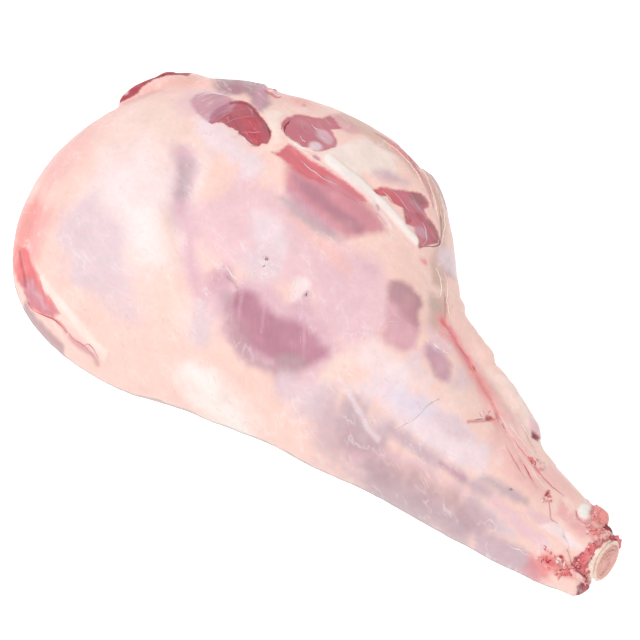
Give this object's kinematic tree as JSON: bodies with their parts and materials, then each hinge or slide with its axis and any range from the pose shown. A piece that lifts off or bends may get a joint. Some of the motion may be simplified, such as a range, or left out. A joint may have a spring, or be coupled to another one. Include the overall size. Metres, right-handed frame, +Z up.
{
  "type": "raw leg of lamb",
  "caption": "Raw leg of lamb lying on its side, trimmed fat and fell over the thigh, bare lean windows, and a cut shank bone at the narrow end.",
  "frame": {"origin": "on the surface that the leg lies on, under the middle of its box", "axes": "+X along the leg from the hip cut to the shank bone's cut end, +Y towards the knee side, +Z up through the shown side"},
  "size_m": [0.3873, 0.2119, 0.091],
  "materials": {
    "raw_lamb": "moist raw fat, silverskin and lean",
    "cut_bone": "sawn bone, cream rim and pink spongy middle"
  },
  "bodies": {
    "root": {"leg_meat": "raw_lamb", "shank_bone": "cut_bone"}
  },
  "joints": []
}
